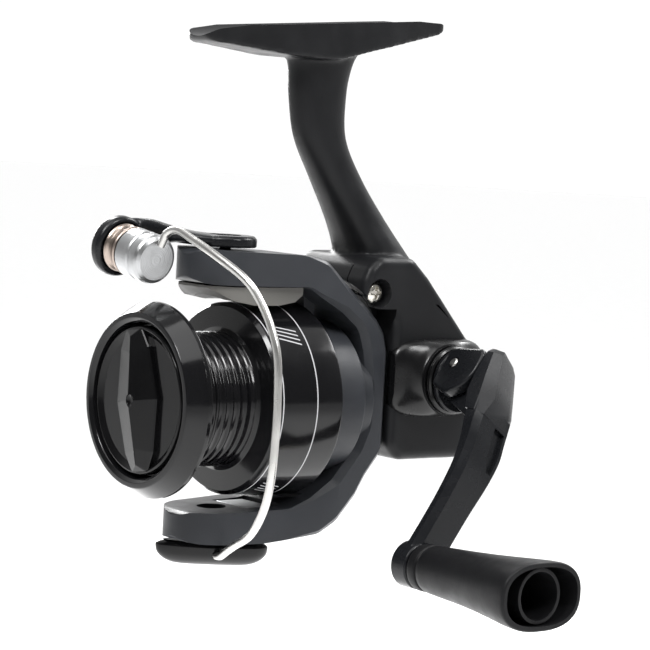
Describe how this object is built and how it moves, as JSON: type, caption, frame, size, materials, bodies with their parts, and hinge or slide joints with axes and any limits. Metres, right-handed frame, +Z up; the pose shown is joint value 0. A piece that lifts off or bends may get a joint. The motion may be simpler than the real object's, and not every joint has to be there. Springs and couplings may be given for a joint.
{
  "type": "spinning reel",
  "caption": "Open-face spinning reel with a curved foot, cupped rotor with bail and line roller, spool with front drag, and a folding side crank with an oval knob.",
  "frame": {"origin": "middle of the foot's saddle, where the rod's seat rests", "axes": "+Z up out of the foot, away from the spool; +Y to the rear along the spool axis; +X to the crank side"},
  "size_m": [0.095, 0.0912, 0.1136],
  "materials": {
    "satin_black": "satin charcoal-black",
    "rotor_grey": "satin dark grey",
    "spool_black": "gloss black with thin bright rings",
    "drag_black": "gloss black",
    "bail_arm_black": "gloss black with bright edge",
    "knob_black": "matt soft-touch",
    "steel": "brushed",
    "screw_steel": "nickel plated",
    "aluminium": "turned, satin",
    "brass": "turned",
    "roller_tan": "coppery coating, polished",
    "zinc": "die-cast",
    "felt": "oiled felt",
    "nylon": "moulded"
  },
  "bodies": {
    "housing": {"reel_body": "satin_black", "side_cover": "satin_black", "cover_screw_top": "screw_steel", "cover_screw_rear": "screw_steel", "boss_collar": "aluminium", "crank_bearing_right": "steel", "crank_bearing_left": "steel", "pinion_bearing": "steel", "one_way_clutch": "zinc", "clutch_retainer": "steel", "retainer_screw_1": "screw_steel", "retainer_screw_2": "screw_steel", "slider_guide_rod": "steel"},
    "crank": {"drive_gear": "zinc", "winder_pinion": "zinc", "handle_root": "satin_black", "fold_pin": "steel", "handle_screw_cap": "satin_black"},
    "arm": {"crank_arm": "satin_black", "knob_spindle": "brass"},
    "knob": {"handle_knob": "knob_black"},
    "winder": {"winder_gear": "nylon"},
    "shaft": {"main_shaft": "steel", "crosswind_slider": "nylon", "slider_screw": "screw_steel", "click_gear": "nylon", "shaft_pin": "steel", "drag_washer_steel_1": "steel", "drag_washer_steel_2": "steel"},
    "spool": {"spool": "spool_black", "drag_washer_felt_1": "felt", "drag_washer_felt_2": "felt", "drag_retaining_clip": "steel", "click_pawl": "nylon"},
    "drag_knob": {"drag_knob": "drag_black", "drag_spring": "steel"},
    "drag_nut": {"drag_nut": "brass"},
    "rotor": {"rotor": "rotor_grey", "pinion": "brass", "rotor_nut": "brass", "balance_weight": "zinc", "bail_arm_cover": "rotor_grey", "arm_cover_screw": "screw_steel", "bail_spring": "steel"},
    "bail_trip": {"bail_trip_lever": "nylon"},
    "bail": {"bail_lever": "satin_black", "bail_lever_screw": "satin_black", "roller_screw": "screw_steel", "roller_bush": "nylon", "roller_cone_cap": "aluminium", "bail_wire": "steel", "bail_arm_low": "bail_arm_black", "bail_arm_low_screw": "screw_steel"},
    "line_roller": {"line_roller": "roller_tan"}
  },
  "joints": [
    {"name": "handle_crank", "type": "hinge", "parent": "housing", "child": "crank", "pos_m": [0, 0.0262, -0.0694], "axis": [1, 0, 0], "continuous": true},
    {"name": "rotor_spin", "type": "hinge", "parent": "housing", "child": "rotor", "pos_m": [0, 0, -0.0742], "axis": [0, 1, 0], "continuous": true},
    {"name": "winder_spin", "type": "hinge", "parent": "housing", "child": "winder", "pos_m": [0, 0.0365, -0.0757], "axis": [1, 0, 0], "continuous": true},
    {"name": "spool_oscillation", "type": "slide", "parent": "housing", "child": "shaft", "axis": [0, 1, 0], "range_m": [-0.0085, 0]},
    {"name": "spool_drag_slip", "type": "hinge", "parent": "shaft", "child": "spool", "pos_m": [0, 0, -0.0742], "axis": [0, 1, 0], "continuous": true},
    {"name": "drag_knob_turn", "type": "hinge", "parent": "shaft", "child": "drag_knob", "pos_m": [0, 0, -0.0742], "axis": [0, -1, 0], "range_deg": [0, 540]},
    {"name": "drag_nut_travel", "type": "slide", "parent": "shaft", "child": "drag_nut", "axis": [0, -1, 0], "range_m": [0, 0.0011]},
    {"name": "bail_open", "type": "hinge", "parent": "rotor", "child": "bail", "pos_m": [0, -0.021, -0.0742], "axis": [0, 0, -1], "range_deg": [0, 105]},
    {"name": "bail_trip", "type": "slide", "parent": "rotor", "child": "bail_trip", "axis": [0, 1, 0], "range_m": [0, 0.0023]},
    {"name": "line_roller_spin", "type": "hinge", "parent": "bail", "child": "line_roller", "pos_m": [-0.0115, -0.0381, -0.0449], "axis": [0.9853, 0.06, -0.16], "continuous": true},
    {"name": "handle_fold", "type": "hinge", "parent": "crank", "child": "arm", "pos_m": [0.0226, 0.02667, -0.06875], "axis": [0, -0.8141, 0.5807], "range_deg": [0, 90]},
    {"name": "knob_spin", "type": "hinge", "parent": "arm", "child": "knob", "pos_m": [0.05, 0.0021, -0.10319], "axis": [1, 0, 0], "continuous": true}
  ],
  "couplings": [
    {"joint": "rotor_spin", "follows": "handle_crank", "ratio": -5.1429},
    {"joint": "winder_spin", "follows": "handle_crank", "ratio": -0.56522},
    {"joint": "drag_nut_travel", "follows": "drag_knob_turn", "m_per_rad": 0.00011141},
    {"joint": "bail_trip", "follows": "bail_open", "m_per_rad": 0.0012}
  ]
}
